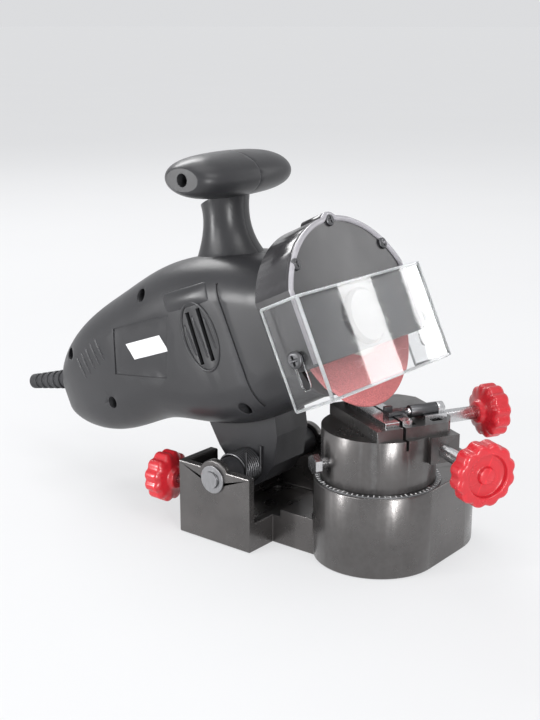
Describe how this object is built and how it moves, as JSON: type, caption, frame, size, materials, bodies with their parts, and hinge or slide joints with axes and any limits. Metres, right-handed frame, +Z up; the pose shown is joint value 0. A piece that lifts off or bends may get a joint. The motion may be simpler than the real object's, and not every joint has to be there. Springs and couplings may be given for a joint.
{
  "type": "electric chainsaw sharpener",
  "caption": "Bench-mounted electric saw-chain grinder: a tilting motor head with a thin guarded wheel above a swivelling chain vise with red screw knobs.",
  "frame": {"origin": "on the bench plane, in the middle of the bench-bolt pattern, straight under the head's pivot pin", "axes": "+Z up, +Y to the rear, towards the cord boot, X along the head's pivot pin (the oval drum reaches towards +X)"},
  "size_m": [0.1399, 0.3827, 0.2265],
  "materials": {
    "cast_paint": "semi-gloss paint over a casting",
    "case_plastic": "satin moulded plastic",
    "guard_plastic": "glossy moulded plastic",
    "clear_plastic": "clear, polished",
    "red_plastic": "moulded, glossy",
    "steel": "bright zinc-plated steel",
    "dark_steel": "blackened steel",
    "scale_plate": "satin, with dark tick marks",
    "abrasive": "bonded pink-red grit",
    "bearing_steel": "ground bearing steel",
    "lamination": "stacked steel sheets",
    "winding": "enamelled copper wire",
    "carbon": "pressed carbon",
    "brass_parts": "bright",
    "inner_plastic": "moulded",
    "capacitor_film": "potted case",
    "switch_red": "moulded, glossy",
    "boot_rubber": "soft, ribbed"
  },
  "bodies": {
    "base": {"base_casting": "cast_paint", "pivot_pin": "steel", "pin_clips": "steel", "depth_lock_nut": "steel", "angle_scale": "scale_plate"},
    "turret": {"vise_turret": "cast_paint", "swivel_bolt": "steel", "swivel_washer": "steel", "swivel_lock_screw": "steel", "fixed_jaw": "steel"},
    "clamp": {"clamp_jaw": "steel"},
    "clamp_grip": {"clamp_knob": "red_plastic"},
    "stop": {"stop_carriage": "steel", "pawl_pin": "steel"},
    "stop_grip": {"stop_knob": "red_plastic"},
    "pawl": {"chain_stop_pawl": "dark_steel"},
    "depth": {"depth_rod": "steel"},
    "depth_grip": {"depth_knob": "red_plastic"},
    "head": {"left_shell": "case_plastic", "right_shell": "case_plastic", "pivot_leg": "case_plastic", "pivot_sleeve": "case_plastic", "stop_ear": "case_plastic", "case_screws": "steel", "front_plate": "cast_paint", "front_bearing": "bearing_steel", "rear_bearing": "bearing_steel", "stator_core": "lamination", "field_coils": "winding", "carbon_brushes": "carbon", "brush_holders": "brass_parts", "suppressor_capacitor": "capacitor_film", "wheel_guard": "guard_plastic", "guard_cover": "guard_plastic", "cover_screws": "steel", "visor_screws": "steel", "switch_body": "inner_plastic", "cord_boot": "boot_rubber", "cord_clamp": "inner_plastic", "return_spring": "dark_steel"},
    "rotor": {"grinding_wheel": "abrasive", "outer_flange": "steel", "inner_flange": "steel", "arbor_nut": "steel", "motor_shaft": "steel", "cooling_fan": "inner_plastic", "armature_core": "lamination", "armature_windings": "winding", "commutator": "winding"},
    "visor": {"visor": "clear_plastic"},
    "rocker": {"rocker": "switch_red"}
  },
  "joints": [
    {"name": "head_pivot", "type": "hinge", "parent": "base", "child": "head", "pos_m": [0, 0, 0.04], "axis": [-1, 0, 0], "range_deg": [0, 11.5]},
    {"name": "wheel_spin", "type": "hinge", "parent": "head", "child": "rotor", "pos_m": [0, -0.0629, 0.1363], "axis": [0, 0.9063, -0.4226], "continuous": true},
    {"name": "visor_slide", "type": "slide", "parent": "head", "child": "visor", "axis": [0, 0.4226, 0.9063], "range_m": [0, 0.014]},
    {"name": "switch_rock", "type": "hinge", "parent": "head", "child": "rocker", "pos_m": [0.0315, 0.09678, 0.08832], "axis": [0, 0.4226, 0.9063], "range_deg": [-8, 8]},
    {"name": "vise_swivel", "type": "hinge", "parent": "base", "child": "turret", "pos_m": [0, -0.084, 0.048], "axis": [0, 0, 1], "range_deg": [-7, 63]},
    {"name": "clamp_slide", "type": "slide", "parent": "turret", "child": "clamp", "axis": [0.8829, -0.4695, 0], "range_m": [-0.0005, 0.0025]},
    {"name": "clamp_turn", "type": "hinge", "parent": "clamp", "child": "clamp_grip", "pos_m": [0.06357, -0.1178, 0.078], "axis": [0.8829, -0.4695, 0], "range_deg": [-145, 721]},
    {"name": "stop_slide", "type": "slide", "parent": "turret", "child": "stop", "axis": [0.4695, 0.8829, 0], "range_m": [-0.003, 0.004]},
    {"name": "stop_turn", "type": "hinge", "parent": "stop", "child": "stop_grip", "pos_m": [-0.01073, -0.15531, 0.07], "axis": [0.4695, 0.8829, 0], "range_deg": [-865, 1153]},
    {"name": "pawl_hinge", "type": "hinge", "parent": "stop", "child": "pawl", "pos_m": [0.01015, -0.10752, 0.0901], "axis": [0.8829, -0.4695, 0], "range_deg": [0, 50]},
    {"name": "depth_slide", "type": "slide", "parent": "base", "child": "depth", "axis": [0, 1, 0], "range_m": [0, 0.006]},
    {"name": "depth_turn", "type": "hinge", "parent": "depth", "child": "depth_grip", "pos_m": [-0.036, 0.0465, 0.029], "axis": [0, 1, 0], "range_deg": [0, 1729]}
  ],
  "couplings": [
    {"joint": "clamp_turn", "follows": "clamp_slide", "rad_per_m": 5026.5},
    {"joint": "stop_turn", "follows": "stop_slide", "rad_per_m": 5026.5},
    {"joint": "depth_turn", "follows": "depth_slide", "rad_per_m": 5026.5}
  ]
}
